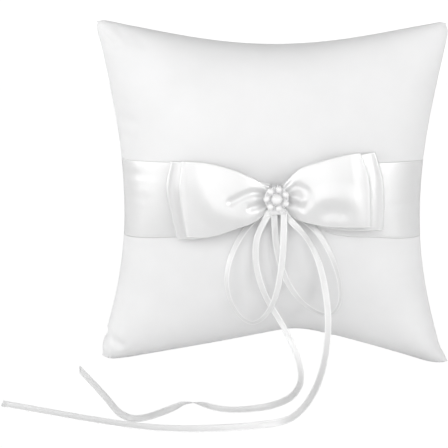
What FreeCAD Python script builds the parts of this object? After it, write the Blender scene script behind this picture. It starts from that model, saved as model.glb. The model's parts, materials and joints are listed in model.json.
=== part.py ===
"""Ring bearer pillow: a stuffed satin cushion with a waist ribbon, a double bow, a pearl brooch
and a narrow ribbon for the rings. Millimetres, +Z up, the front faces -Y, and the origin is on
the table below the middle of the pillow."""

import FreeCAD, Part
import math
import os

V = FreeCAD.Vector

DIMENSIONS = {
    # cover
    "cover_half_width": 86.5,
    "corner_taper": 1.3,
    "cover_half_height": 86.3,
    "cover_middle_height": 83.2,
    "seam_setback": 6.2,
    "puff_depth": 30.0,
    "side_hollow": 12.0,
    "top_hollow": 10.8,
    "bottom_hollow": 16.5,
    "fabric": 0.4,
    "gap": 0.2,
    # waist ribbon and bow
    "ribbon_width": 38.0,
    "waist_height": 82.5,
    "bow_height": 88.0,
    "bow_tilt": 3.0,
    "dimple_depth": 5.0,
    "loop_start": 9.0,
    "gather_half_length": 8.3,
    "gather_half_height": 7.6,
    "gather_half_depth": 3.0,
    "waist_half_height": 5.2,
    "waist_half_depth": 2.4,
    "gather_forward": 30.6,
    # narrow ribbon
    "narrow_width": 3.0,
    "knot_forward": 34.9,
    "knot_height": 79.2,
    "knot_length": 12.6,
    "knot_depth": 7.2,
    "knot_rise": 2.4,
    "knot_corner": 1.5,
    # brooch
    "plate_forward": 36.7,
    "plate_radius": 5.6,
    "plate_thickness": 0.7,
    "small_pearl": 1.5,
    "large_pearl": 2.5,
    "pearl_ring": 4.67,
    "cup_radius": 1.15,
    "cup_height": 0.8,
    "shank_ring": 1.2,
    "shank_wire": 0.35,
    "first_pearl_angle": 25.7,
    # sewing
    "thread_radius": 0.25,
    "stitch_pitch": 5.0,
    "stitch_length": 3.0,
    "tack_length": 2.0,
    "tack_spread": 3.0,
}

doc = FreeCAD.newDocument("ring_bearer_pillow")
sheet = doc.addObject("Spreadsheet::Sheet", "Dims")
for row, (alias, value) in enumerate(DIMENSIONS.items(), start=1):
    sheet.set(f"A{row}", alias)
    sheet.set(f"B{row}", str(value))
    sheet.setAlias(f"B{row}", alias)
doc.recompute()

NODES = []


def dim(alias):
    return float(sheet.get(alias))


def bind(target, **expressions):
    """Tie properties to the sheet. A double underscore stands for a dot."""
    for name, expression in expressions.items():
        target.setExpression(name.replace("__", "."), expression)


def node(target, label):
    """Name a finished sub-part, which is written to its own file."""
    target.Label = label
    NODES.append(target)
    return target


def forward(distance):
    """Y of a point that stands this far in front of the seam plane."""
    return dim("seam_setback") - distance


def feature(name, shape):
    made = doc.addObject("Part::Feature", name)
    made.Shape = shape
    made.Placement = FreeCAD.Placement()
    return made


def primitive(kind, name, **expressions):
    made = doc.addObject(kind, name)
    bind(made, **expressions)
    return made


def boolean(kind, name, base, tool):
    made = doc.addObject(kind, name)
    made.Base = base
    made.Tool = tool
    return made


def joined(name, pieces):
    made = doc.addObject("Part::Compound", name)
    made.Links = pieces
    return made


# ---------------------------------------------------------------- cushion surfaces

GRID = 21
WRAP = math.radians(80)
FULLNESS = 0.75
DIMPLE_REACH = (15.0, 22.0)
CORNER_FILL = 2.5
PEAK_AT = 0.14
PEAK_ROUNDING = 0.10
# How quickly each edge's hollow fades towards its corners, and how local the corners' filling is.
SIDE_FADE = 1.35
TOP_FADE = 1.5
CORNER_FADE = 6
FRONT = -1
BACK = 1


def crown(share):
    """Height of the stuffed crown, 1 in the middle and 0 at a seam."""
    return (math.cos(WRAP * share) - math.cos(WRAP)) / (1 - math.cos(WRAP))


def peak(across):
    """Rise of the bottom seam: two nearly straight halves that meet in a rounded peak."""
    offset = across - PEAK_AT * (1 - across**2)
    rounded = math.hypot(offset, PEAK_ROUNDING) - PEAK_ROUNDING
    return 1 - rounded / (math.hypot(1, PEAK_ROUNDING) - PEAK_ROUNDING)


def cushion_point(side, inset, a, b):
    """Point of the cover at a, b, each from -1 to 1 between opposite seams, moved inwards by
    inset. The seams pull in between the corners, the filling settles in the two bottom corners,
    and the bow pulls a dimple into the front."""
    across = math.sin(WRAP * a) / math.sin(WRAP)
    up = math.sin(WRAP * b) / math.sin(WRAP)
    reach = dim("cover_half_width") - inset - dim("corner_taper") * up
    x = across * (reach - dim("side_hollow") * (1 - up**2) ** SIDE_FADE)
    top = dim("top_hollow") * (1 - across**2) ** TOP_FADE * ((1 + up) / 2) ** 2
    bottom = dim("bottom_hollow") * peak(across) * ((1 - up) / 2) ** 2
    z = dim("cover_middle_height") + up * (dim("cover_half_height") - inset) - top + bottom
    depth = (dim("puff_depth") - inset) * (crown(a) * crown(b)) ** FULLNESS
    depth *= 1 + CORNER_FILL * (across * (1 - up) / 2) ** CORNER_FADE
    if side == FRONT:
        wide, tall = DIMPLE_REACH
        pull = (x / wide) ** 2 + ((z - dim("bow_height")) / tall) ** 2
        depth -= dim("dimple_depth") * math.exp(-pull) * crown(a) * crown(b)
    return V(x, dim("seam_setback") + side * depth, z)


def half_cushion(name, side, inset):
    """Solid between the seam plane and one face of the cushion."""
    steps = [2 * i / (GRID - 1) - 1 for i in range(GRID)]
    poles = [[cushion_point(side, inset, a, b) for b in steps] for a in steps]
    knots = list(range(GRID - 2))
    multiplicities = [4] + [1] * (GRID - 4) + [4]
    surface = Part.BSplineSurface()
    surface.buildFromPolesMultsKnots(
        poles, multiplicities, multiplicities, knots, knots, False, False, 3, 3
    )
    face = surface.toShape()
    cap = Part.Face(Part.Wire(Part.__sortEdges__(face.Edges)))
    return feature(name, Part.makeSolid(Part.makeShell([face, cap])))


# Blocks that cut the cushion are larger than it is every way.
CUTTER = V(200, 120, 20)


def table_block(name, top_expression):
    """Everything below a level, to cut the flat feet."""
    block = primitive("Part::Box", name, Placement__Base__z=f"{top_expression} - Height")
    block.Length, block.Width, block.Height = CUTTER
    block.Placement.Base = V(-CUTTER.x / 2, -CUTTER.y / 2, -CUTTER.z)
    return block


def stuffed_cover():
    """Two cover panels with flat feet, and the filling inside them."""
    fabric, gap = dim("fabric"), dim("gap")
    table = table_block("Table", "0 mm")
    inner_table = table_block("InnerTable", "Dims.fabric * 1 mm")
    fill_table = table_block("FillTable", "(Dims.fabric + Dims.gap) * 1 mm")
    fill_halves = []
    panels = {}
    for side, word in ((FRONT, "Front"), (BACK, "Back")):
        outer = boolean("Part::Cut", f"{word}Outer", half_cushion(f"{word}Skin", side, 0), table)
        lining = half_cushion(f"{word}Lining", side, fabric)
        inner = boolean("Part::Cut", f"{word}Inner", lining, inner_table)
        panels[side] = boolean("Part::Cut", f"{word}Panel", outer, inner)
        fill = half_cushion(f"{word}Fill", side, fabric + gap)
        fill_halves.append(boolean("Part::Cut", f"{word}FillCut", fill, fill_table))
    filling = boolean("Part::Fuse", "Filling", *fill_halves)
    filling.Refine = True
    node(panels[BACK], "cover_back_panel")
    return panels[FRONT], filling


# ---------------------------------------------------------------- waist ribbon and its stitches


def waist_strip():
    """Ribbon over the front of the cover, from side seam to side seam."""
    gap, fabric = dim("gap"), dim("fabric")
    outside = half_cushion("RibbonOutside", FRONT, -gap - fabric)
    inside = half_cushion("RibbonInside", FRONT, -gap)
    shell = boolean("Part::Cut", "RibbonShell", outside, inside)
    span = primitive(
        "Part::Box",
        "RibbonSpan",
        Height="Dims.ribbon_width * 1 mm",
        Placement__Base__z="(Dims.waist_height - Dims.ribbon_width / 2) * 1 mm",
    )
    span.Length, span.Width = CUTTER.x, CUTTER.y / 2
    span.Placement.Base = V(-CUTTER.x / 2, forward(CUTTER.y / 2), 0)
    return boolean("Part::Common", "RibbonStrip", shell, span)


def tack_stitches(panel, filling, strip):
    """Four short stitches under the bow, through the waist ribbon and the cover into the filling."""
    stitches = []
    for i, (right, up) in enumerate(((-1, -1), (1, -1), (-1, 1), (1, 1)), start=1):
        stitch = primitive("Part::Cylinder", f"Tack{i}", Radius="Dims.thread_radius * 1 mm")
        stitch.Placement.Rotation = FreeCAD.Rotation(V(1, 0, 0), 90)
        bind(
            stitch,
            Height="Dims.tack_length * 1 mm",
            Placement__Base__x=f"{right} * Dims.tack_spread * 1 mm",
            Placement__Base__y="(Dims.seam_setback - Dims.puff_depth + Dims.dimple_depth"
                               " + Dims.gap) * 1 mm",
            Placement__Base__z=f"(Dims.bow_height + {up} * Dims.tack_spread) * 1 mm",
        )
        stitches.append(stitch)
    group = node(joined("Tacks", stitches), "bow_tack_stitches")
    node(boolean("Part::Cut", "PanelHoled", panel, group), "cover_front_panel")
    node(boolean("Part::Cut", "FillingHoled", filling, group), "fibre_filling")
    node(boolean("Part::Cut", "StripHoled", strip, group), "waist_ribbon")


STITCHES_EACH_SIDE = 6
# How far the stitches stand off the seam, in thread radii.
SEAM_LIFT = 3


def closing_stitches():
    """Slip stitches along the middle of the bottom seam, where the filling went in."""
    pitch, length = dim("stitch_pitch"), dim("stitch_length")
    lift = SEAM_LIFT * dim("thread_radius")
    stitches = []
    for i in range(-STITCHES_EACH_SIDE, STITCHES_EACH_SIDE + 1):
        middle = i * pitch
        ends = []
        for x in (middle - length / 2, middle + length / 2):
            a = math.asin(x / dim("cover_half_width") * math.sin(WRAP)) / WRAP
            ends.append(cushion_point(FRONT, -lift, a, -1))
        along = ends[1] - ends[0]
        name = f"Slip{STITCHES_EACH_SIDE + i + 1}"
        stitch = primitive("Part::Cylinder", name, Radius="Dims.thread_radius * 1 mm")
        stitch.Height = along.Length
        stitch.Placement = FreeCAD.Placement(ends[0], FreeCAD.Rotation(V(0, 0, 1), along))
        stitches.append(stitch)
    node(joined("Slips", stitches), "closing_stitches")


# ---------------------------------------------------------------- bow

# Plan of each loop: distance from the middle, and distance in front of the seam plane.
BACK_LOOP = ((9, 30.4), (27, 31.0), (42, 28.4), (50.2, 25.6), (51.6, 26.9), (50, 28.6),
             (41, 32.0), (27, 34.0), (9, 31.8))
FRONT_LOOP = ((9, 32.8), (26, 35.7), (37, 34.6), (43.2, 32.6), (44.9, 34.0), (43, 36.0),
              (36, 39.8), (26, 41.4), (9, 34.5))
TAPER_REACH = 26.0
CUT_MARGIN = 1.0


def offset_curve(points, distance):
    """Curve beside the one through the points, to its left."""
    middle = Part.BSplineCurve()
    middle.interpolate(points)
    moved = []
    for point in points:
        tangent = middle.tangent(middle.parameter(point))[0]
        moved.append(point + V(-tangent.y, tangent.x, 0) * distance)
    curve = Part.BSplineCurve()
    curve.interpolate(moved)
    return curve


def origin_plane(body, role):
    return [plane for plane in body.Origin.OriginFeatures if plane.Role == role][0]


def sketch_on(body, name, role):
    sketch = body.newObject("Sketcher::SketchObject", name)
    sketch.AttachmentSupport = (origin_plane(body, role), [""])
    sketch.MapMode = "FlatFace"
    return sketch


def ribbon_loop(name, label, plan, hand):
    """One loop of the wide ribbon: a ribbon on edge, bent back at its fold and cut to a taper
    towards the gather. hand is -1 on the left and 1 on the right."""
    body = doc.addObject("PartDesign::Body", name)
    outline = sketch_on(body, f"{name}Plan", "XY_Plane")
    points = [V(hand * x, forward(depth), 0) for x, depth in plan]
    half = dim("fabric") / 2
    near, far = offset_curve(points, half), offset_curve(points, -half)
    outline.addGeometry([near, far, Part.LineSegment(near.StartPoint, far.StartPoint),
                         Part.LineSegment(near.EndPoint, far.EndPoint)])
    pad = body.newObject("PartDesign::Pad", f"{name}Pad")
    pad.Profile = outline
    pad.Midplane = True
    bind(pad, Length="Dims.ribbon_width * 1 mm")

    taper = sketch_on(body, f"{name}Taper", "XZ_Plane")
    edge, pinch = dim("ribbon_width") / 2 + CUT_MARGIN, dim("gather_half_height")
    start = dim("loop_start") - CUT_MARGIN
    for up in (-1, 1):
        corners = [V(hand * start, up * edge, 0), V(hand * start, up * pinch, 0),
                   V(hand * (start + TAPER_REACH), up * edge, 0)]
        for first, second in zip(corners, corners[1:] + corners[:1]):
            taper.addGeometry(Part.LineSegment(first, second))
    pocket = body.newObject("PartDesign::Pocket", f"{name}Cut")
    pocket.Profile = taper
    pocket.Type = "ThroughAll"
    pocket.Midplane = True
    body.Tip = pocket
    body.Placement = FreeCAD.Placement(V(), FreeCAD.Rotation(V(0, 1, 0), -dim("bow_tilt")))
    bind(body, Placement__Base__z="Dims.bow_height * 1 mm")
    return node(body, label)


def gather():
    """Pinched centre of the bow, an oval section that is smallest in the middle."""
    body = doc.addObject("PartDesign::Body", "Gather")
    sections = ((-1, "gather_half_height", "gather_half_depth"),
                (0, "waist_half_height", "waist_half_depth"),
                (1, "gather_half_height", "gather_half_depth"))
    profiles = []
    for place, (end, height, depth) in enumerate(sections):
        sketch = sketch_on(body, f"GatherSection{place}", "YZ_Plane")
        bind(sketch, AttachmentOffset__Base__z=f"{end} * Dims.gather_half_length * 1 mm")
        centre = V(forward(dim("gather_forward")), 0, 0)
        top, side = centre + V(0, dim(height), 0), centre + V(dim(depth), 0, 0)
        sketch.addGeometry(Part.Ellipse(top, side, centre))
        profiles.append(sketch)
    loft = body.newObject("PartDesign::AdditiveLoft", "GatherLoft")
    loft.Profile = profiles[0]
    loft.Sections = profiles[1:]
    bind(body, Placement__Base__z="Dims.bow_height * 1 mm")
    return body


# Distance between turns of thread, in thread radii.
TURN_PITCH = 3


def gather_thread():
    """Four turns of thread round the waist of the gather, two each side of the brooch thread."""
    thread = dim("thread_radius")
    turns = []
    for i in (-2, -1, 1, 2):
        centre = V(i * TURN_PITCH * thread, forward(dim("gather_forward")), dim("bow_height"))
        tall, deep = dim("waist_half_height") + 2 * thread, dim("waist_half_depth") + 2 * thread
        oval = Part.Ellipse(centre + V(0, 0, tall), centre + V(0, deep, 0), centre)
        circle = Part.Circle(centre + V(0, 0, tall), V(0, 1, 0), thread)
        path = Part.Wire(oval.toShape())
        turns.append(path.makePipeShell([Part.Wire(circle.toShape())], True, True))
    node(feature("GatherThread", Part.makeCompound(turns)), "gather_thread")


# ---------------------------------------------------------------- brooch

THREAD_RING = 1.1
RING_PEARLS = 7


def on_plate(target, radius, angle, ahead):
    """Place a piece on the brooch's plate, ahead in mm of its face, on a bolt circle."""
    bind(
        target,
        Placement__Base__x=f"{radius} * cos({angle} * 1 deg) * 1 mm",
        Placement__Base__y=f"(Dims.seam_setback - Dims.plate_forward - {ahead}) * 1 mm",
        Placement__Base__z=f"(Dims.bow_height + {radius} * sin({angle} * 1 deg)) * 1 mm",
    )


def brooch():
    """Silver plate with eight cups, a pearl in each, and a sewing shank behind."""
    places = [(str(i + 1), "Dims.pearl_ring", i * 360 / RING_PEARLS, "small_pearl")
              for i in range(RING_PEARLS)]
    pearls, cups = [], []
    for word, radius, turn, size in places + [("Centre", "0", 0, "large_pearl")]:
        angle = f"(Dims.first_pearl_angle + {turn})"
        pearl = primitive("Part::Sphere", f"Pearl{word}", Radius=f"Dims.{size} * 1 mm")
        on_plate(pearl, radius, angle, f"(Dims.plate_thickness + Dims.{size})")
        label = "pearl_centre" if word == "Centre" else f"pearl_outer_{word}"
        pearls.append(node(pearl, label))
        cup = primitive("Part::Cylinder", f"Cup{word}", Radius="Dims.cup_radius * 1 mm")
        bind(cup, Height="(Dims.plate_thickness + Dims.cup_height) * 1 mm")
        cup.Placement.Rotation = FreeCAD.Rotation(V(1, 0, 0), 90)
        on_plate(cup, radius, angle, "0")
        cups.append(cup)
    plate = primitive(
        "Part::Cylinder",
        "Plate",
        Radius="Dims.plate_radius * 1 mm",
        Height="Dims.plate_thickness * 1 mm",
    )
    plate.Placement.Rotation = FreeCAD.Rotation(V(1, 0, 0), 90)
    on_plate(plate, "0", 0, "0")
    setting = doc.addObject("Part::MultiFuse", "SettingBlank")
    setting.Shapes = [plate] + cups
    node(boolean("Part::Cut", "Setting", setting, joined("AllPearls", pearls)), "brooch_setting")


def shank_and_thread(gathered):
    """Wire eye behind the plate, and the ring of thread through it that holds it to the gather."""
    eye = dim("plate_forward") - dim("shank_ring") - dim("shank_wire")
    shank = primitive(
        "Part::Torus",
        "Shank",
        Radius1="Dims.shank_ring * 1 mm",
        Radius2="Dims.shank_wire * 1 mm",
        Placement__Base__z="Dims.bow_height * 1 mm",
    )
    shank.Placement.Base = V(0, forward(eye), 0)
    node(shank, "brooch_shank")

    thread = primitive("Part::Torus", "ThreadRing", Radius2="Dims.thread_radius * 1 mm")
    thread.Radius1 = THREAD_RING
    place = V(0, forward(eye - dim("shank_ring")), dim("bow_height"))
    thread.Placement = FreeCAD.Placement(place, FreeCAD.Rotation(V(0, 1, 0), 90))
    node(thread, "brooch_thread")
    node(boolean("Part::Cut", "GatherPierced", gathered, thread), "bow_gather")


# ---------------------------------------------------------------- narrow ribbon

# Route of each length of the narrow ribbon, from the knot: x, y and z of each point.
LEFT_LOOP = ((-3.9, -31.4, 77.0), (-7.4, -31.2, 70.8), (-13.6, -30.8, 65.6), (-19.2, -30.4, 58.4),
             (-22.8, -30.4, 49.4), (-22.0, -30.7, 40.4), (-18.4, -31.0, 33.0), (-12.0, -31.2, 29.4),
             (-4.8, -31.4, 30.6), (0.8, -31.4, 36.4), (2.8, -31.4, 46.2), (3.2, -31.4, 57.0),
             (1.9, -31.4, 67.4), (0.6, -31.4, 77.0))
RIGHT_LOOP = ((3.8, -27.8, 77.0), (7.4, -27.8, 70.8), (14.2, -27.8, 66.6), (21.6, -27.6, 61.6),
              (27.6, -27.4, 54.0), (31.2, -27.2, 45.4), (30.6, -27.0, 37.6), (25.8, -27.0, 32.2),
              (18.6, -27.0, 31.0), (11.6, -27.0, 34.6), (6.8, -27.0, 43.6), (3.2, -27.2, 52.8),
              (0.9, -27.4, 62.6), (0.1, -27.6, 70.2), (0.0, -27.8, 77.0))
LEFT_TAIL = ((-3.8, -27.8, 77.0), (-7.6, -27.6, 69.4), (-9.6, -27.4, 60.4), (-8.8, -27.4, 51.2),
             (-5.6, -27.3, 42.4), (-0.9, -27.5, 34.2), (3.6, -29.4, 26.6), (7.6, -33.8, 18.8),
             (10.8, -40.8, 11.2), (11.2, -48.4, 5.2), (7.6, -57.6, 1.6), (0.8, -67.2, 1.6),
             (-9.6, -76.0, 1.6), (-25.2, -79.4, 1.6), (-39.6, -73.2, 1.6), (-50.6, -79.6, 1.6),
             (-61.6, -87.4, 1.6), (-73.0, -83.0, 1.6), (-77.4, -65.4, 1.6), (-85.6, -41.0, 1.6),
             (-94.4, -15.6, 1.6))
RIGHT_TAIL = ((4.6, -31.6, 77.0), (9.6, -32.0, 70.2), (16.2, -32.8, 63.6), (20.8, -34.4, 54.4),
              (23.2, -36.4, 44.6), (24.2, -39.2, 34.8), (23.8, -43.6, 25.2), (22.0, -50.2, 16.4),
              (18.6, -60.0, 9.0), (13.4, -72.0, 3.8), (7.6, -83.6, 1.6), (0.0, -94.2, 1.6),
              (-10.8, -100.0, 1.6), (-24.4, -103.0, 1.6), (-40.0, -104.4, 1.6),
              (-58.0, -102.2, 1.6), (-80.4, -92.4, 1.6), (-102.0, -81.0, 1.6),
              (-123.0, -69.6, 1.6))
ARC_SHARE = 0.45


def rounded_route(points):
    """Straight runs joined by tangent arcs as large as the runs allow, and the arcs' radii."""
    points = [V(*point) for point in points]
    edges, radii = [], []
    start = points[0]
    for before, corner, after in zip(points, points[1:], points[2:]):
        arriving, leaving = corner - before, after - corner
        setback = ARC_SHARE * min(arriving.Length, leaving.Length)
        turn = arriving.getAngle(leaving)
        radii.append(setback / math.tan(turn / 2))
        first = corner - V(arriving).normalize() * setback
        last = corner + V(leaving).normalize() * setback
        inward = (V(leaving).normalize() - V(arriving).normalize()).normalize()
        bulge = radii[-1] * (1 / math.cos(turn / 2) - 1)
        edges.append(Part.LineSegment(start, first).toShape())
        edges.append(Part.Arc(first, corner + inward * bulge, last).toShape())
        start = last
    edges.append(Part.LineSegment(start, points[-1]).toShape())
    return Part.Wire(edges), radii


def narrow_ribbon(name, label, points):
    """Free length of the narrow ribbon, as a round tube as thick as the ribbon is wide."""
    path, radii = rounded_route(points)
    radius = dim("narrow_width") / 2
    start = V(*points[0])
    circle = Part.Circle(start, V(*points[1]) - start, radius)
    tube = path.makePipeShell([Part.Wire(circle.toShape())], True, False)
    expected = math.pi * radius**2 * path.Length
    print(f"{label}: {path.Length:.1f} mm long, volume {tube.Volume / expected:.4f} of expected,"
          f" arc radii {' '.join(f'{value:.1f}' for value in radii)}")
    node(feature(name, tube), label)


def ring_ribbon_knot():
    """Flat knot below the brooch, where both loops and both tails of the narrow ribbon meet."""
    block = primitive(
        "Part::Box",
        "KnotBlock",
        Length="Dims.knot_length * 1 mm",
        Width="Dims.knot_depth * 1 mm",
        Height="Dims.knot_rise * 1 mm",
        Placement__Base__x="-Dims.knot_length / 2 * 1 mm",
        Placement__Base__y="(Dims.seam_setback - Dims.knot_forward - Dims.knot_depth / 2) * 1 mm",
        Placement__Base__z="(Dims.knot_height - Dims.knot_rise / 2) * 1 mm",
    )
    doc.recompute()
    knot = doc.addObject("Part::Fillet", "Knot")
    knot.Base = block
    upright = [i for i, edge in enumerate(block.Shape.Edges, start=1)
               if abs(edge.BoundBox.ZLength - dim("knot_rise")) < 0.01]
    corner = dim("knot_corner")
    knot.Edges = [(i, corner, corner) for i in upright]
    node(knot, "ring_ribbon_knot")


# ---------------------------------------------------------------- assembly


def make_bow():
    for hand, word in ((-1, "left"), (1, "right")):
        ribbon_loop(f"BackLoop{word.title()}", f"bow_back_loop_{word}", BACK_LOOP, hand)
        ribbon_loop(f"FrontLoop{word.title()}", f"bow_front_loop_{word}", FRONT_LOOP, hand)
    gathered = gather()
    gather_thread()
    brooch()
    shank_and_thread(gathered)


def check_document():
    """Stop if any feature failed or any sub-part is not a valid solid."""
    for item in doc.Objects:
        if {"Invalid", "Error"} & set(item.State):
            raise SystemExit(f"{item.Name} failed: {item.State}")
    for item in NODES:
        if item.Shape.isNull() or not item.Shape.isValid() or not item.Shape.Solids:
            raise SystemExit(f"{item.Label} is not a valid solid")


def write_parts():
    os.makedirs("parts", exist_ok=True)
    for item in NODES:
        item.Shape.exportStep(f"parts/{item.Label}.step")


tack_stitches(*stuffed_cover(), waist_strip())
closing_stitches()
make_bow()
ring_ribbon_knot()
narrow_ribbon("LeftLoop", "ring_ribbon_loop_left", LEFT_LOOP)
narrow_ribbon("RightLoop", "ring_ribbon_loop_right", RIGHT_LOOP)
narrow_ribbon("LeftTail", "ring_ribbon_tail_left", LEFT_TAIL)
narrow_ribbon("RightTail", "ring_ribbon_tail_right", RIGHT_TAIL)
doc.recompute()
check_document()
write_parts()
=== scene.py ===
"""Ring bearer pillow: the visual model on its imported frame. Sizes are in millimetres until a mesh
is made, +Z is up, the front faces -Y, and the origin is on the table below the middle."""

import json
import math

import bpy
import numpy as np
from mathutils import Matrix, Vector
from mathutils.bvhtree import BVHTree

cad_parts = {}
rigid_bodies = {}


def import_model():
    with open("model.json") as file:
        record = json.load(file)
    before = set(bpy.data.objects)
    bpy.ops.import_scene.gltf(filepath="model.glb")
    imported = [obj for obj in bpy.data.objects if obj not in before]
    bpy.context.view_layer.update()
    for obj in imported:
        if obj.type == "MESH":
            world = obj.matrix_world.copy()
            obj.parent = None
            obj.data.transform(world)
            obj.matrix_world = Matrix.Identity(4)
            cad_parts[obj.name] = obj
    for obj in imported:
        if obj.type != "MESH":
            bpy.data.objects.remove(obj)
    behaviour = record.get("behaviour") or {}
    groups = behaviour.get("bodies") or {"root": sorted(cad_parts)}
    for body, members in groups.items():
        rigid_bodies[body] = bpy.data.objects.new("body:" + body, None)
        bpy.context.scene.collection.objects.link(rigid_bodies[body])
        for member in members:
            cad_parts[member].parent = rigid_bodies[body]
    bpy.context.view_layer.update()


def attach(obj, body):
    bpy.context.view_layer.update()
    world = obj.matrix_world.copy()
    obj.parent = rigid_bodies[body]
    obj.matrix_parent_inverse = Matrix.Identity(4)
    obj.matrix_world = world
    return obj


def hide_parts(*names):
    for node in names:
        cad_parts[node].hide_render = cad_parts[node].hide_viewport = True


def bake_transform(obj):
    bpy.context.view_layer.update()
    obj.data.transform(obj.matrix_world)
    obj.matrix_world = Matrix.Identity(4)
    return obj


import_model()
MM = 0.001

# ---------------------------------------------------------------- camera

CAMERA_PLACE = (-31, -592, 168)
CAMERA_TARGET = (-24, 0, 71)
CAMERA_ROLL = 0.15
CAMERA_LENS = 98


def make_camera():
    data = bpy.data.cameras.new("camera")
    data.lens = CAMERA_LENS
    camera = bpy.data.objects.new("camera", data)
    bpy.context.collection.objects.link(camera)
    place = Vector(CAMERA_PLACE)
    turn = (Vector(CAMERA_TARGET) - place).to_track_quat("-Z", "Y").to_matrix().to_4x4()
    roll = Matrix.Rotation(math.radians(CAMERA_ROLL), 4, "Z")
    camera.matrix_world = Matrix.Translation(place * MM) @ turn @ roll
    bpy.context.scene.camera = camera


# ---------------------------------------------------------------- shapes by numbers

LINE_FINENESS = 8
# How square the edges of a cloth sheet are, and the share of its thickness left at the very edge.
SHEET_SQUARENESS = 8
SHEET_EDGE = 0.02


def smoothstep(value):
    value = np.clip(value, 0.0, 1.0)
    return value * value * (3 - 2 * value)


def eased(value, places, heights):
    """Smooth line through a few given heights, at value."""
    places, heights = np.array(places, float), np.array(heights, float)
    slopes = np.gradient(heights, places)
    value = np.clip(value, places[0], places[-1])
    cell = np.clip(np.searchsorted(places, value) - 1, 0, len(places) - 2)
    span = places[cell + 1] - places[cell]
    t = (value - places[cell]) / span
    start = (1 + 2 * t) * (1 - t) ** 2 * heights[cell] + t * (1 - t) ** 2 * span * slopes[cell]
    end = t * t * (3 - 2 * t) * heights[cell + 1] + t * t * (t - 1) * span * slopes[cell + 1]
    return start + end


def capsule(x, z, path, radius):
    """1 on a line through a few x, z points, easing to 0 at radius from it."""
    nearest = np.full(x.shape, np.inf)
    for (x0, z0), (x1, z1) in zip(path, path[1:]):
        dx, dz = x1 - x0, z1 - z0
        t = np.clip(((x - x0) * dx + (z - z0) * dz) / (dx * dx + dz * dz), 0, 1)
        nearest = np.minimum(nearest, np.hypot(x - x0 - t * dx, z - z0 - t * dz))
    return smoothstep(1 - nearest / radius)


def line_through(points, count):
    """Smooth line through given points, as evenly spaced points."""
    points = np.array(points, float)
    steps = np.linalg.norm(np.diff(points, axis=0), axis=1)
    places = np.concatenate([[0], np.cumsum(steps)])
    fine = np.linspace(0, places[-1], count * LINE_FINENESS)
    line = np.stack([eased(fine, places, column) for column in points.T], axis=1)
    lengths = np.concatenate([[0], np.cumsum(np.linalg.norm(np.diff(line, axis=0), axis=1))])
    even = np.linspace(0, lengths[-1], count)
    return np.stack([np.interp(even, lengths, column) for column in line.T], axis=1)


def grid_faces(rows, columns, closed=False):
    """Quads of a grid of points. closed joins the last column to the first."""
    faces = []
    for i in range(rows - 1):
        for j in range(columns if closed else columns - 1):
            k = (j + 1) % columns
            faces.append((i * columns + j, (i + 1) * columns + j, (i + 1) * columns + k,
                          i * columns + k))
    return faces


def add_piece(name, points, faces, material, body="root"):
    """Mesh object from points in millimetres, smooth, riding on a body."""
    mesh = bpy.data.meshes.new(name)
    mesh.from_pydata([tuple(point) for point in np.asarray(points) * MM], [], faces)
    mesh.shade_smooth()
    mesh.materials.append(material)
    piece = bpy.data.objects.new(name, mesh)
    bpy.context.collection.objects.link(piece)
    if body:
        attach(piece, body)
    return piece


def set_uv(piece, places):
    """Give each point of a mesh its place on the flat cloth, in metres."""
    layer = piece.data.uv_layers.new(name="cloth")
    corners = np.empty(len(piece.data.loops), int)
    piece.data.loops.foreach_get("vertex_index", corners)
    layer.data.foreach_set("uv", (np.asarray(places)[corners] * MM).ravel())


def settle(piece):
    """Make the modifiers part of the mesh."""
    graph = bpy.context.evaluated_depsgraph_get()
    mesh = bpy.data.meshes.new_from_object(piece.evaluated_get(graph))
    piece.modifiers.clear()
    piece.data = mesh


def cloth_sheet(name, grid, flat, material, body, thickness):
    """Ribbon of real thickness from a grid of points, rows along it and columns across it. flat
    is the size of the flat ribbon, across and along."""
    rows, columns = grid.shape[:2]
    along = np.gradient(grid, axis=0)
    across = np.gradient(grid, axis=1)
    normal = np.cross(along, across)
    normal /= np.linalg.norm(normal, axis=2, keepdims=True) + 1e-9
    place = np.linspace(-1, 1, columns)[None, :, None]
    half = thickness / 2 * np.sqrt(1 - place**SHEET_SQUARENESS + SHEET_EDGE)
    front, back = grid + normal * half, grid - normal * half
    ring = np.concatenate([front, back[:, ::-1]], axis=1)
    faces = grid_faces(rows, 2 * columns, closed=True)
    last = (rows - 1) * 2 * columns
    for j in range(columns - 1):
        k = 2 * columns - 1 - j
        faces.append((j, j + 1, k - 1, k))
        faces.append((last + k, last + k - 1, last + j + 1, last + j))
    piece = add_piece(name, ring.reshape(-1, 3), faces, material, body)
    v = np.linspace(-0.5, 0.5, columns) * flat[0]
    u = np.linspace(0, flat[1], rows)
    places = np.stack(np.meshgrid(u, np.concatenate([v, v[::-1]]), indexing="ij"), axis=2)
    set_uv(piece, places.reshape(-1, 2))
    return piece


# ---------------------------------------------------------------- materials

# Length of one band of the wave texture at a scale of 1.
WAVE_BAND = math.pi / 10
# Spacing of the threads of each cloth, in metres.
COVER_RIBS = 0.00042
COVER_FLOATS = 0.0003
RIBBON_WARP = 0.0002
RIBBON_PICKS = 0.00035
RIBBON_EDGE_RIBS = 0.0006
THREAD_PLIES = 0.00035
# Sizes of uneven patches, in metres.
COVER_WRINKLES = 0.03
COVER_SLUBS = 0.008
RIBBON_PATCHES = 0.012
PEARL_CLOUDS = 0.0016
SILVER_PITS = 0.0004


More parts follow.
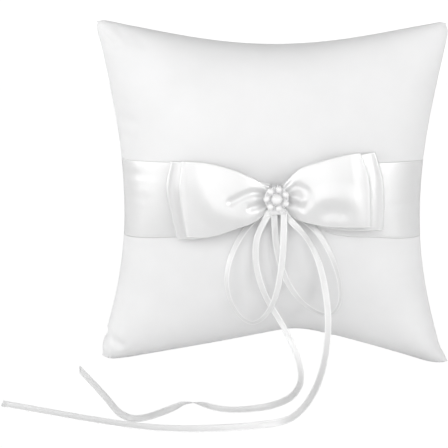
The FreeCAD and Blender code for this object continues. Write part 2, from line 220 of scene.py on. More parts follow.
class NodeTree:
    """Node tree of a material or of the room, with short ways to add to it."""

    def __init__(self, tree):
        self.tree = tree

    def node(self, kind, **settings):
        made = self.tree.nodes.new(f"ShaderNode{kind}")
        for setting, value in settings.items():
            setattr(made, setting, value)
        return made

    def link(self, source, target):
        self.tree.links.new(source, target)

    def math(self, operation, first, second):
        made = self.node("Math", operation=operation)
        for socket, value in zip(made.inputs, (first, second)):
            if isinstance(value, (int, float)):
                socket.default_value = value
            else:
                self.link(value, socket)
        return made.outputs[0]

    def graded(self, value, stops):
        """Colour by value, through (position, grey or colour) stops."""
        made = self.node("ValToRGB")
        for index, (position, tone) in enumerate(stops):
            if index > 1:
                made.color_ramp.elements.new(position)
            element = made.color_ramp.elements[index]
            element.position = position
            element.color = (*tone, 1) if isinstance(tone, tuple) else (tone, tone, tone, 1)
        self.link(value, made.inputs["Fac"])
        return made.outputs["Color"]


class Recipe(NodeTree):
    """One material, with the shader's constant sockets set by name."""

    def __init__(self, name, **sockets):
        self.material = bpy.data.materials.new(name)
        self.material.use_nodes = True
        super().__init__(self.material.node_tree)
        self.shader = self.tree.nodes["Principled BSDF"]
        for socket, value in sockets.items():
            self.shader.inputs[socket.replace("_", " ")].default_value = value

    def place(self, uv):
        """Where on the cloth, or in the object, a point is."""
        coordinates = self.node("TexCoord")
        return coordinates.outputs["UV" if uv else "Object"]

    def threads(self, place, direction, pitch, waver=0.6):
        """Rows of thread, as heights from 0 to 1."""
        wave = self.node("TexWave", wave_type="BANDS", bands_direction=direction)
        wave.inputs["Scale"].default_value = WAVE_BAND / pitch
        wave.inputs["Distortion"].default_value = waver
        wave.inputs["Detail"].default_value = 1.0
        wave.inputs["Detail Scale"].default_value = 0.4
        self.link(place, wave.inputs["Vector"])
        return wave.outputs["Fac"]

    def cloud(self, place, size, detail=2.0):
        """Soft unevenness, as values around 0.5. size is the size of a patch in metres."""
        noise = self.node("TexNoise")
        noise.inputs["Scale"].default_value = 1 / size
        noise.inputs["Detail"].default_value = detail
        self.link(place, noise.inputs["Vector"])
        return noise.outputs["Fac"]

    def bump(self, layers):
        """Stack (height, depth in metres, strength) layers of relief on the shader."""
        normal = None
        for height, depth, strength in layers:
            made = self.node("Bump")
            made.inputs["Distance"].default_value = depth
            made.inputs["Strength"].default_value = strength
            self.link(height, made.inputs["Height"])
            if normal:
                self.link(normal, made.inputs["Normal"])
            normal = made.outputs["Normal"]
        self.link(normal, self.shader.inputs["Normal"])

    def ramp(self, value, socket, stops):
        """Drive a colour or roughness by a value."""
        self.link(self.graded(value, stops), self.shader.inputs[socket])


def satin_cover():
    """Matte bridal satin: fine cross ribs, faint slubs, soft wrinkles and a low sheen."""
    recipe = Recipe("satin_cover", Roughness=0.5, Anisotropic=0.3, Sheen_Weight=0.22,
                    Sheen_Roughness=0.4, Specular_IOR_Level=0.4)
    place = recipe.place(uv=False)
    ribs = recipe.threads(place, "Z", COVER_RIBS)
    floats = recipe.threads(place, "X", COVER_FLOATS, waver=1.5)
    weave = recipe.math("ADD", recipe.math("MULTIPLY", ribs, 0.7),
                        recipe.math("MULTIPLY", floats, 0.3))
    patches = recipe.cloud(place, COVER_WRINKLES, detail=3.0)
    recipe.ramp(patches, "Base Color", ((0.3, (0.81, 0.81, 0.812)), (0.7, (0.85, 0.85, 0.852))))
    recipe.ramp(weave, "Roughness", ((0.0, 0.56), (1.0, 0.46)))
    recipe.bump(((patches, 0.002, 0.12), (recipe.cloud(place, COVER_SLUBS), 0.0006, 0.1),
                 (weave, 0.00006, 0.5)))
    return recipe.material


def satin_ribbon(name, width, edge, roughness, lustre, tone):
    """Glossy ribbon satin in cloth coordinates, with a thicker woven edge on both sides that is also
    painted lighter as a highlight. width and edge are in millimetres, and lustre is how metallic the
    floats look."""
    recipe = Recipe(name, Roughness=roughness, Metallic=lustre, Anisotropic=0.3, Sheen_Weight=0.1,
                    Sheen_Roughness=0.3, Specular_IOR_Level=0.6)
    place = recipe.place(uv=True)
    split = recipe.node("SeparateXYZ")
    recipe.link(place, split.inputs[0])
    across = recipe.math("ABSOLUTE", split.outputs["Y"], 0.0)
    border = recipe.math("GREATER_THAN", across, (width / 2 - edge) * MM)
    warp = recipe.threads(place, "Y", RIBBON_WARP, waver=0.3)
    picks = recipe.threads(place, "X", RIBBON_PICKS, waver=0.8)
    weave = recipe.math("ADD", recipe.math("MULTIPLY", picks, 0.6),
                        recipe.math("MULTIPLY", warp, 0.4))
    ribs = recipe.threads(place, "X", RIBBON_EDGE_RIBS, waver=0.0)
    edge_ribs = recipe.math("MULTIPLY", ribs, border)
    patches = recipe.cloud(place, RIBBON_PATCHES, detail=3.0)
    # Random tone from the patches, plus a painted highlight: the woven edge is coloured lighter.
    tone_and_edge_highlight = recipe.math("ADD", recipe.math("MULTIPLY", patches, 0.4),
                        recipe.math("MULTIPLY", border, 0.6))
    recipe.ramp(tone_and_edge_highlight, "Base Color", ((0.1, tone - 0.02), (0.3, tone), (0.7, tone + 0.12)))
    recipe.ramp(weave, "Roughness", ((0.0, roughness + 0.05), (1.0, roughness - 0.03)))
    recipe.bump(((patches, 0.0008, 0.12), (border, 0.00004, 0.5), (edge_ribs, 0.00006, 0.5),
                 (weave, 0.00004, 0.4)))
    tangent = recipe.node("Tangent", direction_type="UV_MAP")
    recipe.link(tangent.outputs[0], recipe.shader.inputs["Tangent"])
    return recipe.material


def pearl():
    """Glass pearl: a lustrous coat over a soft white body, with faint cloudy bands."""
    recipe = Recipe("pearl", Roughness=0.3, Coat_Weight=1.0, Coat_Roughness=0.06,
                    Specular_IOR_Level=0.5, Sheen_Weight=0.2)
    place = recipe.place(uv=False)
    clouds = recipe.cloud(place, PEARL_CLOUDS)
    recipe.ramp(clouds, "Base Color", ((0.3, (0.88, 0.875, 0.87)), (0.7, (0.94, 0.935, 0.94))))
    recipe.bump(((clouds, 0.0001, 0.08),))
    return recipe.material


def silver():
    """Cast silver-plated metal: fine pits, and a duller tone in the low spots."""
    recipe = Recipe("silver", Metallic=0.1, Roughness=0.35)
    place = recipe.place(uv=False)
    pits = recipe.cloud(place, SILVER_PITS, detail=3.0)
    recipe.ramp(pits, "Base Color", ((0.3, (0.9, 0.9, 0.905)), (0.6, (0.99, 0.99, 0.995))))
    recipe.ramp(pits, "Roughness", ((0.3, 0.5), (0.7, 0.34)))
    recipe.bump(((pits, 0.00008, 0.4),))
    return recipe.material


def thread():
    """Twisted polyester sewing thread."""
    recipe = Recipe("thread", Roughness=0.55, Sheen_Weight=0.3, Specular_IOR_Level=0.4)
    place = recipe.place(uv=False)
    plies = recipe.threads(place, "DIAGONAL", THREAD_PLIES, waver=0.2)
    # Painted shade: the grooves between the plies are coloured darker than the white thread.
    recipe.ramp(plies, "Base Color", ((0.0, (0.68, 0.68, 0.69)), (1.0, (0.86, 0.86, 0.865))))
    recipe.bump(((plies, 0.00008, 0.6),))
    return recipe.material


RIBBON_WIDTH = 38.0
NARROW_WIDTH = 3.0
COVER = satin_cover()
RIBBON = satin_ribbon("satin_ribbon", RIBBON_WIDTH, edge=0.7, roughness=0.27, lustre=0.3,
                      tone=0.84)
NARROW = satin_ribbon("narrow_ribbon", NARROW_WIDTH, edge=0.45, roughness=0.4, lustre=0.16,
                      tone=0.82)
PEARL = pearl()
SILVER = silver()
THREAD = thread()

# ---------------------------------------------------------------- narrow ribbon

NARROW_THICKNESS = 0.3
NARROW_CUP = 0.18
NARROW_COLUMNS = 9
# The direction along which the ribbon shows its whole width.
SIGHT = np.array((0.0, 1.0, -0.17))

LEFT_LOOP = ((-2.0, -29.6, 81.4), (-6.6, -27.0, 80.0), (-12.4, -25.4, 75.2), (-18.4, -28.4, 66.6),
             (-22.6, -30.4, 56.2), (-23.2, -30.7, 45.4), (-19.6, -31.0, 35.4), (-12.6, -31.2, 28.2),
             (-6.4, -31.4, 30.2), (-1.4, -31.4, 37.4), (1.4, -31.4, 47.0), (3.0, -31.4, 58.4),
             (3.6, -31.2, 70.0), (3.6, -30.2, 81.4))
RIGHT_LOOP = ((3.0, -28.6, 81.4), (10.0, -26.4, 79.4), (16.6, -25.6, 74.8), (22.6, -26.4, 67.6),
              (27.4, -27.4, 58.0), (30.6, -27.2, 47.4), (31.2, -27.0, 38.4), (27.6, -27.0, 31.4),
              (20.4, -27.0, 32.6), (13.0, -27.0, 37.6), (7.2, -27.0, 44.8), (3.4, -27.2, 52.6),
              (1.0, -27.4, 61.6), (-0.4, -28.0, 70.6), (-1.0, -29.2, 81.4))
LEFT_TAIL = ((-2.4, -28.6, 82.0), (-6.2, -28.6, 76.0), (-9.2, -28.2, 68.4), (-9.6, -27.8, 59.4),
             (-8.0, -27.6, 50.0), (-4.6, -27.5, 40.6), (0.0, -27.9, 33.0), (4.4, -30.4, 26.2),
             (8.4, -34.8, 18.6), (11.2, -41.0, 11.2), (11.6, -48.4, 5.2), (7.6, -57.6, 1.8),
             (2.0, -67.4, 1.5), (-8.0, -76.6, 1.5), (-25.6, -80.4, 1.5), (-39.6, -66.6, 2.1),
             (-49.0, -79.0, 1.5), (-62.0, -93.0, 1.5), (-70.4, -84.0, 1.5), (-76.6, -64.0, 1.5),
             (-86.0, -38.0, 1.5), (-94.4, -15.6, 1.5))
RIGHT_TAIL = ((3.4, -29.0, 82.0), (6.6, -30.6, 77.4), (12.2, -32.6, 72.4), (17.8, -33.6, 63.8),
              (21.2, -34.8, 54.4), (23.2, -36.4, 44.6), (24.2, -39.2, 34.8), (23.8, -43.6, 25.2),
              (22.0, -50.2, 16.4), (18.6, -60.0, 9.0), (13.4, -72.0, 3.8), (7.8, -83.4, 1.8),
              (1.8, -94.4, 1.6), (-9.0, -99.2, 1.5), (-24.0, -102.8, 1.5), (-40.0, -104.6, 1.5),
              (-58.0, -102.2, 1.5), (-80.4, -92.4, 1.5), (-102.0, -81.0, 1.5),
              (-123.0, -69.6, 1.5))


def route_points(route):
    """Points along the smooth line of a route, in millimetres."""
    curve = bpy.data.curves.new("route", "CURVE")
    curve.dimensions = "3D"
    spline = curve.splines.new("NURBS")
    spline.points.add(len(route) - 1)
    for point, place in zip(spline.points, route):
        point.co = (*place, 1)
    spline.order_u = 3
    spline.use_endpoint_u = True
    holder = bpy.data.objects.new("route", curve)
    mesh = bpy.data.meshes.new_from_object(holder)
    points = np.array([vertex.co for vertex in mesh.vertices])
    bpy.data.objects.remove(holder)
    return points


def narrow_ribbon(name, node, route, turns, slant=0.0):
    """Free length of the narrow ribbon. turns are (share of the length, degrees the ribbon has
    turned about its own line), and slant is how far the end is cut aslant."""
    line = route_points(route)
    steps = np.linalg.norm(np.diff(line, axis=0), axis=1)
    run = np.concatenate([[0], np.cumsum(steps)])
    heading = np.gradient(line, run, axis=0)
    heading /= np.linalg.norm(heading, axis=1, keepdims=True)
    width = np.cross(heading, SIGHT)
    width /= np.linalg.norm(width, axis=1, keepdims=True)
    facing = np.cross(heading, width)
    turn = np.radians(eased(run / run[-1], *zip(*turns)))[:, None]
    width, facing = (np.cos(turn) * width + np.sin(turn) * facing,
                     np.cos(turn) * facing - np.sin(turn) * width)
    across = np.linspace(-1, 1, NARROW_COLUMNS)
    grid = (line[:, None] + width[:, None] * across[None, :, None] * NARROW_WIDTH / 2
            + facing[:, None] * NARROW_CUP * across[None, :, None] ** 2)
    near_end = smoothstep(1 - (run[-1] - run) / (NARROW_WIDTH * 2))[:, None, None]
    grid = grid + heading[:, None] * across[None, :, None] * slant * near_end
    piece = cloth_sheet(name, grid, (NARROW_WIDTH, run[-1]), NARROW, "root",
                        NARROW_THICKNESS)
    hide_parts(node)
    return piece


def make_narrow_ribbon():
    narrow_ribbon("ring_loop_left", "ring_ribbon_loop_left", LEFT_LOOP,
                  ((0, 10), (0.2, 30), (0.35, 48), (0.55, 50), (0.7, 20), (0.85, 0), (1, -10)))
    narrow_ribbon("ring_loop_right", "ring_ribbon_loop_right", RIGHT_LOOP,
                  ((0, 0), (0.2, -20), (0.4, -48), (0.6, -50), (0.75, -15), (0.9, 0), (1, 0)))
    narrow_ribbon("ring_tail_left", "ring_ribbon_tail_left", LEFT_TAIL,
                  ((0, 0), (0.12, 15), (0.3, 30), (0.42, 12), (0.5, 34), (0.555, 46), (0.6, 150),
                   (0.64, 192), (0.77, 190), (0.88, 185), (1, 176)),
                  slant=2.2)
    narrow_ribbon("ring_tail_right", "ring_ribbon_tail_right", RIGHT_TAIL,
                  ((0, 60), (0.05, -30), (0.12, -10), (0.3, 15), (0.45, 0), (0.6, 16), (0.72, 33),
                   (1, 29)))


# ---------------------------------------------------------------- cushion

WRAP = math.radians(80)
HALF_WIDTH = 86.5
CORNER_TAPER = 1.3
HALF_HEIGHT = 86.3
MIDDLE_HEIGHT = 83.2
SEAM_Y = 6.2
PUFF_DEPTH = 30.0
SIDE_HOLLOW = 12.0
SIDE_ROUNDING = 1.35
LOW_WAIST = 0.4
TOP_HOLLOW = 10.8
TOP_ROUNDING = 1.5
BOTTOM_HOLLOW = 20.0
FULLNESS = 0.75
CORNER_FILL = 2.5
CORNER_TIGHTNESS = 6
DIMPLE_REACH = (15.0, 22.0)
DIMPLE_DEPTH = 3.5
BOW_HEIGHT = 88.0
PEAK_AT = 0.14
PEAK_ROUNDING = 0.10
CUT_SIZE = 178.0
CUSHION_CELLS = 64
INFLATION_STEPS = 18
MOST_SWELL = 4.0
HELD_ROUND_BOW = 6.0
# Half the space between the two flat panels before they are blown up.
PANELS_APART = 0.5
SEAM_SHARPNESS = 0.9
FRONT = -1
BACK = 1


def crown(share):
    return (np.cos(WRAP * share) - math.cos(WRAP)) / (1 - math.cos(WRAP))


def bottom_peak(across):
    offset = across - PEAK_AT * (1 - across**2)
    rounded = np.hypot(offset, PEAK_ROUNDING) - PEAK_ROUNDING
    return 1 - rounded / (math.hypot(1, PEAK_ROUNDING) - PEAK_ROUNDING)


def cushion_points(side, a, b):
    """Points of the stuffed cover at a and b, each from -1 to 1 between opposite seams."""
    across = np.sin(WRAP * a) / math.sin(WRAP)
    up = np.sin(WRAP * b) / math.sin(WRAP)
    hollow = SIDE_HOLLOW * (1 - up**2).clip(0) ** SIDE_ROUNDING
    hollow = hollow * (1 + LOW_WAIST * ((1 - up) / 2) ** 2)
    x = across * (HALF_WIDTH - CORNER_TAPER * up - hollow)
    top = TOP_HOLLOW * (1 - across**2).clip(0) ** TOP_ROUNDING * ((1 + up) / 2) ** 2
    bottom = BOTTOM_HOLLOW * bottom_peak(across) * ((1 - up) / 2) ** 2
    z = MIDDLE_HEIGHT + up * HALF_HEIGHT - top + bottom
    full = (crown(a) * crown(b)).clip(0)
    corner = (across * (1 - up) / 2) ** CORNER_TIGHTNESS
    depth = PUFF_DEPTH * full**FULLNESS * (1 + CORNER_FILL * corner)
    if side == FRONT:
        pull = (x / DIMPLE_REACH[0]) ** 2 + ((z - BOW_HEIGHT) / DIMPLE_REACH[1]) ** 2
        depth = depth - DIMPLE_DEPTH * np.exp(-pull) * full
    return np.stack([x, SEAM_Y + side * depth, z.clip(0)], axis=-1)


def cushion_mesh():
    """Front and back panels as one closed mesh, sewn together along their edges. Also gives each
    point's place on the flat panels."""
    steps = np.linspace(-1, 1, CUSHION_CELLS + 1)
    a, b = np.meshgrid(steps, steps, indexing="ij")
    size = CUSHION_CELLS + 1
    front = cushion_points(FRONT, a, b).reshape(-1, 3)
    back = cushion_points(BACK, a, b).reshape(-1, 3)
    seam = (np.maximum(abs(a), abs(b)) > 1 - 1e-6).ravel()
    index = np.arange(size * size)
    back_index = np.where(seam, index, size * size + np.cumsum(~seam) - 1)
    quads = grid_faces(size, size)
    faces = list(quads) + [tuple(back_index[list(quad)][::-1]) for quad in quads]
    faces = [tuple(int(i) for i in face) for face in faces]
    flat = np.stack([a.ravel(), np.zeros(size * size), b.ravel()], axis=1) * CUT_SIZE / 2
    points = np.concatenate([front, back[~seam]])
    return points, np.concatenate([flat, flat[~seam]]), faces, index[seam]


def inflate(cushion, flat, held):
    """Blow the sewn panels up as cloth cut flat, so that the spare cloth puckers. held are the
    points that the seams and the bow hold still. No point moves further than MOST_SWELL."""
    mesh = cushion.data
    start = np.array([vertex.co for vertex in mesh.vertices])
    cushion.shape_key_add(name="stuffed")
    cut = cushion.shape_key_add(name="cut")
    cut.data.foreach_set("co", (flat * MM).ravel())
    group = cushion.vertex_groups.new(name="held")
    group.add([int(i) for i in held], 1.0, "REPLACE")
    cloth = cushion.modifiers.new("cloth", "CLOTH")
    settings = cloth.settings
    settings.quality = 8
    settings.mass = 0.1
    settings.tension_stiffness = settings.compression_stiffness = 20
    settings.shear_stiffness = 5
    settings.bending_stiffness = 0.08
    settings.rest_shape_key = cut
    settings.vertex_group_mass = "held"
    settings.use_pressure = True
    settings.uniform_pressure_force = 4
    settings.effector_weights.gravity = 0
    cloth.collision_settings.use_collision = False
    scene = bpy.context.scene
    scene.frame_start, scene.frame_end = 1, INFLATION_STEPS
    for step in range(1, INFLATION_STEPS + 1):
        scene.frame_set(step)
    graph = bpy.context.evaluated_depsgraph_get()
    blown = np.array([vertex.co for vertex in cushion.evaluated_get(graph).data.vertices])
    scene.frame_set(1)
    cushion.modifiers.clear()
    cushion.shape_key_clear()
    cushion.vertex_groups.clear()
    move = blown - start
    far = np.linalg.norm(move, axis=1, keepdims=True) + 1e-12
    limit = MOST_SWELL * MM
    moved = start + move * np.tanh(far / limit) * limit / far
    moved[:, 2] = moved[:, 2].clip(0)
    mesh.vertices.foreach_set("co", moved.ravel())


def make_cushion():
    points, flat, faces, seam = cushion_mesh()
    cushion = add_piece("satin_cushion", points, faces, COVER)
    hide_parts("cover_front_panel", "cover_back_panel", "fibre_filling")
    under_bow = np.hypot(points[:, 0], points[:, 2] - BOW_HEIGHT) < HELD_ROUND_BOW
    flat[:, 1] = np.where(points[:, 1] < SEAM_Y, -PANELS_APART, PANELS_APART)
    inflate(cushion, flat, np.union1d(seam, np.flatnonzero(under_bow)))
    crease = cushion.data.attributes.new("crease_edge", "FLOAT", "EDGE")
    seam_set = set(int(i) for i in seam)
    values = [SEAM_SHARPNESS if set(edge.vertices) <= seam_set else 0.0
              for edge in cushion.data.edges]
    crease.data.foreach_set("value", values)
    smoother = cushion.modifiers.new("smoother", "SUBSURF")
    smoother.levels = smoother.render_levels = 1
    settle(cushion)
    dress_seams(cushion)
    return cushion


# How the corners are out of true: side, top or bottom, pull along x, y and z, and its reach.
TIPS = ((-1, 1, (-1.2, 0.0, 0.8), 17.0), (-1, 1, (0.9, 0.0, -0.9), 5.0),
        (1, 1, (-0.3, 0.0, 0.3), 12.0), (1, 1, (-1.3, 0.0, -0.9), 5.0),
        (-1, -1, (0.0, 6.5, 0.5), 100.0), (-1, -1, (1.6, 0.0, 0.8), 8.0),
        (1, -1, (2.0, 0.0, 0.0), 10.0))
# Small creases of the front: path, radius and depth.
CREASES = ((((-84, 15), (-76, 10)), 4.0, 1.3), (((-82, 165), (-77, 158)), 2.6, 0.5),
           (((-75, 166), (-70, 160)), 3.0, 0.45), (((-68, 163), (-62, 158)), 3.4, 0.35),
           (((-77, 132), (-68, 130)), 2.6, 0.3), (((-76, 124), (-66, 121)), 3.0, 0.3),
           (((-75, 115), (-67, 113)), 2.6, 0.3))
SEAM_NOTCH = (((-88, 14), (-83, 13)), 3.2, 1.1)
PUCKER_PITCHES = (6.1, 8.7, 13.3)
PUCKER_HEIGHT = 0.12
PUCKER_REACH = 11.0
PUCKER_PATCH = 31.0
PUCKER_SLANT = 60
# Distances over which puckers and creases grow from nothing, away from the seam.
PUCKER_START = 3
CREASE_START = 2
SEAM_POINTS = 201


def pull_corners(points):
    """Points of the cover with its corners pulled out of true."""
    x, _, z = points.T
    pulled = points.copy()
    for hand, up, pull, reach in TIPS:
        tip = cushion_points(FRONT, np.array([float(hand)]), np.array([float(up)]))[0]
        near = smoothstep(1 - np.hypot(x - tip[0], z - tip[2]) / reach)
        pulled += near[:, None] * pull
    pulled[:, 2] = pulled[:, 2].clip(0)
    return pulled


def dress_seams(cushion):
    """Pucker the cloth beside the side seams, crease it near the corners, and pull the corners to
    their shape."""
    points = np.array([vertex.co for vertex in cushion.data.vertices]) / MM
    x, y, z = points.T
    side_seam = cushion_points(FRONT, np.ones(SEAM_POINTS), np.linspace(-1, 1, SEAM_POINTS))
    inside = np.interp(z, side_seam[:, 2], side_seam[:, 0]) - abs(x)
    ripple = sum(np.sin(2 * math.pi * z / pitch + np.sign(x) * place)
                 for place, pitch in enumerate(PUCKER_PITCHES, start=1))
    ripple *= 0.5 - 0.5 * np.sin(2 * math.pi * z / PUCKER_PATCH + x / PUCKER_SLANT)
    fade = np.exp(-(inside / PUCKER_REACH) ** 2) * smoothstep(inside / PUCKER_START)
    side = np.sign(y - SEAM_Y)
    points[:, 1] += side * PUCKER_HEIGHT * ripple * fade
    for path, radius, depth in CREASES:
        clear_of_seam = smoothstep(abs(y - SEAM_Y) / CREASE_START)
        points[:, 1] -= side * depth * capsule(x, z, path, radius) * clear_of_seam
    path, radius, depth = SEAM_NOTCH
    points[:, 0] += depth * capsule(x, z, path, radius)
    cushion.data.vertices.foreach_set("co", (pull_corners(points) * MM).ravel())


def surface_of(piece):
    """Search tree of a piece's surface, in metres."""
    mesh = piece.data
    return BVHTree.FromPolygons([vertex.co for vertex in mesh.vertices],
                                [tuple(face.vertices) for face in mesh.polygons])


# ---------------------------------------------------------------- waist ribbon

RIBBON_THICKNESS = 0.24
STAND_OFF = 0.15
# Edges of the waist ribbon as (distance from the middle, height): it is gathered under the bow.
WAIST_TOP = ((0, 91.5), (8, 93), (20, 97.6), (30, 101), (40, 103), (60, 103.4), (90, 102.4))
WAIST_BOTTOM = ((0, 85), (8, 82.5), (16, 77), (24, 71), (34, 68.4), (46, 67.4), (62, 65.8),
                (90, 64.6))
WAIST_ROWS = 241
WAIST_COLUMNS = 41
# Gathers of the waist ribbon: half their height, how many, where they start to fade, and over what.
WAIST_GATHERS = 0.35
WAIST_FOLDS = 5
GATHERED_TO = 6
GATHERS_FADE = 30
# Share of the way from the seam in which the ribbon rises to its full stand-off.
RISE_FROM_SEAM = 0.06
ROW_HALVINGS = 30


def panel_row(a, height):
    """Place between the top and bottom seams, at each a, where the front panel is at height."""
    low, high = np.full(a.shape, -1.0), np.full(a.shape, 1.0)
    for _ in range(ROW_HALVINGS):
        middle = (low + high) / 2
        below = cushion_points(FRONT, a, middle)[..., 2] < height
        low, high = np.where(below, middle, low), np.where(below, high, middle)
    return (low + high) / 2


def make_waist_ribbon(cushion):
    """Wide ribbon over the front of the cover, caught in both side seams and gathered under the
    bow."""
    a, v = np.meshgrid(np.linspace(-1, 1, WAIST_ROWS), np.linspace(-1, 1, WAIST_COLUMNS),
                       indexing="ij")
    distance = abs(np.sin(WRAP * a) / math.sin(WRAP)) * (HALF_WIDTH - SIDE_HOLLOW)
    top, bottom = eased(distance, *zip(*WAIST_TOP)), eased(distance, *zip(*WAIST_BOTTOM))
    grid = cushion_points(FRONT, a, panel_row(a, (top + bottom) / 2 + v * (top - bottom) / 2))
    gathers = WAIST_GATHERS * (1 + np.cos(math.pi * WAIST_FOLDS * v))
    gathers = gathers * smoothstep(1 - (distance - GATHERED_TO) / GATHERS_FADE)
    lift = (STAND_OFF + gathers) * smoothstep((1 - abs(a)) / RISE_FROM_SEAM)
    surface = surface_of(cushion)
    for index in np.ndindex(grid.shape[:2]):
        place, normal, _, _ = surface.find_nearest(Vector(grid[index]) * MM)
        grid[index] = np.array(place) / MM + np.array(normal) * lift[index]
    middle = grid[:, WAIST_COLUMNS // 2]
    length = np.linalg.norm(np.diff(middle, axis=0), axis=1).sum()
    piece = cloth_sheet("waist_ribbon_band", grid, (RIBBON_WIDTH, length), RIBBON,
                        "root", RIBBON_THICKNESS)
    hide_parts("waist_ribbon")
    return piece


# ---------------------------------------------------------------- bow

# Plan of each loop: distance from the middle, and distance in front of the seam plane.
BACK_LOOP = ((3.0, 31.0), (14, 30.4), (27, 30.6), (42, 28.6), (49.6, 26.6), (51.2, 26.6),
             (51.6, 27.4), (51.0, 28.3), (49.4, 28.2), (41, 31.4), (27, 34.0), (14, 32.4),
             (3.0, 31.8))
FRONT_LOOP = ((3.0, 32.0), (14, 33.0), (26, 35.5), (37, 34.8), (43.0, 33.7), (44.5, 33.8),
              (44.9, 34.6), (44.4, 35.4), (43.0, 35.5), (36, 37.0), (25, 38.2), (14, 37.2),
              (8, 35.4), (3.0, 33.2))
ROWS = 220
COLUMNS = 57
# Places across the ribbon, from -1 at the bottom, at which a loop's fold is given.
FOLD_PLACES = (-1, -0.4, 0.3, 1)
# How sharply a loop turns from back to front at its fold.
FOLD_BLEND = 6
# The front's bulge between its edges: depth, where it starts, and how far it takes to rise and fall.
FRONT_SWELL = 1.1
SWELL_START = 4
SWELL_RISE = 12
SWELL_FALL = 16
PLEATS = 3.2
PLEAT_DEPTH = 0.6
PLEAT_START = 3
PLEAT_REACH = 11
RELIEF_POINTS = 20
# Each loop: name, CAD node, side, plan, fold (distance from the middle at FOLD_PLACES), top and
# bottom edge as (distance, height), relief as (path, radius, rise) of each crease or swell of the
# front, and length of the flat ribbon.
BOW_LOOPS = (
    ("bow_back_left", "bow_back_loop_left", -1, BACK_LOOP, (46.6, 49.2, 51.6, 49.4),
     ((3, 94), (10, 96.0), (22, 100.6), (34, 103.4), (52, 104.6)),
     ((3, 82), (10, 78.4), (22, 71.6), (34, 68.4), (52, 66.0)), (), 92),
    ("bow_back_right", "bow_back_loop_right", 1, BACK_LOOP, (51.4, 51.6, 50.6, 46.8),
     ((3, 94), (10, 98.4), (22, 103.6), (34, 107.0), (52, 109.6)),
     ((3, 82), (10, 78.4), (22, 73.8), (34, 72.0), (52, 71.4)), (), 92),
    ("bow_front_left", "bow_front_loop_left", -1, FRONT_LOOP, (42.2, 44.2, 45.4, 44.0),
     ((3, 93), (9, 96.2), (20, 101.4), (31, 104.4), (46, 105.4)),
     ((3, 82), (9, 77.4), (20, 73.2), (29, 70.0), (46, 69.4)),
     ((((6, 91.4), (14, 89.8), (21, 86.4)), 3.0, -0.7),
      (((6, 86.0), (9, 84.8), (12, 83.4)), 2.4, -0.55),
      (((40, 101), (35, 92), (31, 85), (22, 79), (12, 76.5)), 9.0, 0.7)), 78),
    ("bow_front_right", "bow_front_loop_right", 1, FRONT_LOOP, (44.6, 44.4, 43.2, 38.8),
     ((3, 93), (9, 100.2), (20, 105.2), (31, 108.2), (46, 110.4)),
     ((3, 82), (9, 78.4), (20, 75.2), (31, 74.2), (46, 74.0)),
     ((((8.0, 88.0), (9.6, 87.6), (11, 87.0)), 3.6, 1.1),
      (((9, 93.6), (13.8, 91.6), (15.2, 87.4), (13, 83.4)), 3.0, -0.55),
      (((24, 82), (27, 81.8), (30, 81.4)), 6.0, -0.55),
      (((12, 80.6), (20, 87), (31, 88.4), (39, 84), (42, 76)), 8.0, 0.55)), 78),
)


def pleats(x, v):
    """Small folds across the ribbon that fan out from the gather and die away."""
    fade = smoothstep(1 - (x - PLEAT_START) / PLEAT_REACH)
    return PLEAT_DEPTH * np.cos(math.pi * PLEATS * v) * fade


def bow_loop(name, node, hand, plan, fold, top_edge, bottom_edge, relief, flat_length):
    """One loop of the wide ribbon, as BOW_LOOPS describes it. hand is -1 on the left and 1 on the
    right."""
    line = line_through(plan, ROWS)
    fold_at = line[:, 0].max()
    share = np.linspace(0, 1, ROWS)[:, None] * np.ones((1, COLUMNS))
    x, forward = line[:, :1] * np.ones((1, COLUMNS)), line[:, 1:] * np.ones((1, COLUMNS))
    v = np.linspace(-1, 1, COLUMNS)[None] * np.ones((ROWS, 1))
    reach = eased(v, FOLD_PLACES, fold)
    x = x * (1 + (reach / fold_at - 1) * (x / fold_at) ** 2)
    top, bottom = eased(x, *zip(*top_edge)), eased(x, *zip(*bottom_edge))
    z = (top + bottom) / 2 + v * (top - bottom) / 2
    front = smoothstep((share - 0.5) * FOLD_BLEND)
    swell = smoothstep((x - SWELL_START) / SWELL_RISE) * smoothstep((fold_at - x) / SWELL_FALL)
    forward = forward - front * swell * FRONT_SWELL * v**2
    forward = forward + pleats(x, v) * (2 * front - 1)
    for path, radius, rise in relief:
        forward = forward + front * rise * capsule(x, z, line_through(path, RELIEF_POINTS),
                                                    radius)
    grid = np.stack([hand * x, SEAM_Y - forward, z], axis=2)
    piece = cloth_sheet(name, grid, (RIBBON_WIDTH, flat_length), RIBBON, None,
                        RIBBON_THICKNESS)
    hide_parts(node)
    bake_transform(piece)
    return piece


def make_bow():
    for loop in BOW_LOOPS:
        bow_loop(*loop)


# The pinched middle: half its length, its height and depth at the neck, and how much each flares.
GATHER_REACH = 8.3
NECK_HEIGHT = 5.2
NECK_HEIGHT_FLARE = 2.4
NECK_DEPTH = 2.4
NECK_DEPTH_FLARE = 0.5
GATHER_CENTRE_Y = SEAM_Y - 30.6
GATHER_DROP = 1.2
GATHER_RINGS = 41
GATHER_SIDES = 72
GATHER_PLEATS = 11
PLEAT_RIPPLE = 0.05
PLEAT_TWIST = 0.12
# Cloth that goes round the gather, in millimetres for each radian.
CLOTH_PER_RADIAN = 6


